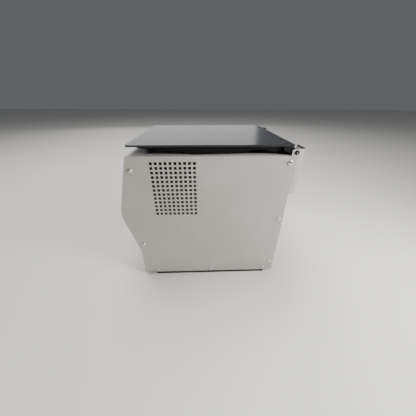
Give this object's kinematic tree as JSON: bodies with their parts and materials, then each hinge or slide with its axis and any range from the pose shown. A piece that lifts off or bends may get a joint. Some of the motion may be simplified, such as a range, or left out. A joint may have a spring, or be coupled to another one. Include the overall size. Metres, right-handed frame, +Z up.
{
  "type": "thermal cycler",
  "caption": "Bench-top thermal cycler: folded sheet-metal case with side vents and a slanted control face, sprung heated lid on a rear hinge, well block, fan and rear mains inlet.",
  "frame": {"origin": "On the table, under the middle of the case's bounding box.", "axes": "+Z up, -Y towards the user (the control face), +X to the user's right (the pictured side)."},
  "size_m": [0.245, 0.3188, 0.286],
  "materials": {
    "case_paint": "satin warm grey-beige paint",
    "bracket_paint": "satin paint, a little lighter",
    "lid_black": "smooth black",
    "moulded_black": "fine-textured black moulding",
    "charcoal": "satin charcoal moulding",
    "rubber": "matte",
    "bright_steel": "bright plated",
    "dark_steel": "blackened",
    "aluminium": "machined",
    "silicone": "moulded silicone",
    "ceramic": "fired ceramic",
    "circuit_board": "solder-masked laminate",
    "window": "clear tinted window",
    "key_grey": "satin",
    "key_green": "satin",
    "key_red": "satin"
  },
  "bodies": {
    "case": {"base_pan": "case_paint", "front_panel": "case_paint", "top_deck": "case_paint", "rear_panel": "case_paint", "side_panel_right": "case_paint", "side_panel_left": "case_paint", "hinge_bracket": "bracket_paint", "lid_stop_buffer_right": "rubber", "lid_stop_buffer_left": "rubber", "rubber_runner_right": "rubber", "rubber_runner_left": "rubber", "side_screw_1": "bright_steel", "side_screw_2": "bright_steel", "side_screw_3": "bright_steel", "side_screw_4": "bright_steel", "side_screw_5": "bright_steel", "side_screw_6": "bright_steel", "side_screw_7": "bright_steel", "side_screw_8": "bright_steel", "hinge_pin_right": "dark_steel", "hinge_pin_left": "dark_steel", "latch_keeper": "bright_steel", "sample_block": "aluminium", "bay_frame": "charcoal", "peltier_module_1": "ceramic", "peltier_module_2": "ceramic", "heat_sink": "aluminium", "fan_housing": "moulded_black", "main_board": "circuit_board", "power_supply": "bright_steel", "display_module": "circuit_board", "display_window": "window", "keypad_board": "circuit_board", "mains_inlet": "moulded_black", "power_switch_body": "moulded_black", "serial_port": "bright_steel"},
    "lid": {"lid_plate": "lid_black", "lid_shell": "moulded_black", "lid_hinge_arm_right": "moulded_black", "lid_hinge_arm_left": "moulded_black", "platen_spring_1": "bright_steel", "platen_spring_2": "bright_steel", "platen_spring_3": "bright_steel", "platen_spring_4": "bright_steel", "latch_pin": "bright_steel"},
    "platen": {"platen": "aluminium", "heater_mat": "silicone"},
    "latch": {"latch_lever": "charcoal"},
    "rocker": {"power_rocker": "charcoal"},
    "fan": {"fan_rotor": "moulded_black"},
    "fuse_tray": {"fuse_drawer": "charcoal"},
    "up_key": {"key_up": "key_grey"},
    "left_key": {"key_left": "key_grey"},
    "enter_key": {"key_enter": "key_grey"},
    "right_key": {"key_right": "key_grey"},
    "down_key": {"key_down": "key_grey"},
    "menu_key": {"key_menu": "key_grey"},
    "start_key": {"key_start": "key_green"},
    "stop_key": {"key_stop": "key_red"}
  },
  "joints": [
    {"name": "lid_hinge", "type": "hinge", "parent": "case", "child": "lid", "pos_m": [0, 0.1473, 0.2741], "axis": [-1, 0, 0], "range_deg": [0, 73]},
    {"name": "platen_float", "type": "slide", "parent": "lid", "child": "platen", "axis": [0, 0, 1], "range_m": [0, 0.0025], "stiffness_N_per_m": 4000, "springref_m": -0.002, "deforming": ["platen_spring_1", "platen_spring_2", "platen_spring_3", "platen_spring_4"]},
    {"name": "latch_pivot", "type": "hinge", "parent": "lid", "child": "latch", "pos_m": [0, -0.118, 0.279], "axis": [-1, 0, 0], "range_deg": [-18, 0]},
    {"name": "power_rocker_pivot", "type": "hinge", "parent": "case", "child": "rocker", "pos_m": [0.03, 0.1465, 0.047], "axis": [1, 0, 0], "range_deg": [0, 16]},
    {"name": "fan_spin", "type": "hinge", "parent": "case", "child": "fan", "pos_m": [0, 0.1341, 0.15], "axis": [0, 1, 0], "continuous": true},
    {"name": "fuse_drawer_slide", "type": "slide", "parent": "case", "child": "fuse_tray", "axis": [0, 1, 0], "range_m": [0, 0.018]},
    {"name": "key_up_press", "type": "slide", "parent": "case", "child": "up_key", "axis": [0, 0.9672, -0.2538], "range_m": [0, 0.0012], "stiffness_N_per_m": 400, "springref_m": -0.0005},
    {"name": "key_left_press", "type": "slide", "parent": "case", "child": "left_key", "axis": [0, 0.9672, -0.2538], "range_m": [0, 0.0012], "stiffness_N_per_m": 400, "springref_m": -0.0005},
    {"name": "key_enter_press", "type": "slide", "parent": "case", "child": "enter_key", "axis": [0, 0.9672, -0.2538], "range_m": [0, 0.0012], "stiffness_N_per_m": 400, "springref_m": -0.0005},
    {"name": "key_right_press", "type": "slide", "parent": "case", "child": "right_key", "axis": [0, 0.9672, -0.2538], "range_m": [0, 0.0012], "stiffness_N_per_m": 400, "springref_m": -0.0005},
    {"name": "key_down_press", "type": "slide", "parent": "case", "child": "down_key", "axis": [0, 0.9672, -0.2538], "range_m": [0, 0.0012], "stiffness_N_per_m": 400, "springref_m": -0.0005},
    {"name": "key_menu_press", "type": "slide", "parent": "case", "child": "menu_key", "axis": [0, 0.9672, -0.2538], "range_m": [0, 0.0012], "stiffness_N_per_m": 400, "springref_m": -0.0005},
    {"name": "key_start_press", "type": "slide", "parent": "case", "child": "start_key", "axis": [0, 0.9672, -0.2538], "range_m": [0, 0.0012], "stiffness_N_per_m": 400, "springref_m": -0.0005},
    {"name": "key_stop_press", "type": "slide", "parent": "case", "child": "stop_key", "axis": [0, 0.9672, -0.2538], "range_m": [0, 0.0012], "stiffness_N_per_m": 400, "springref_m": -0.0005}
  ]
}
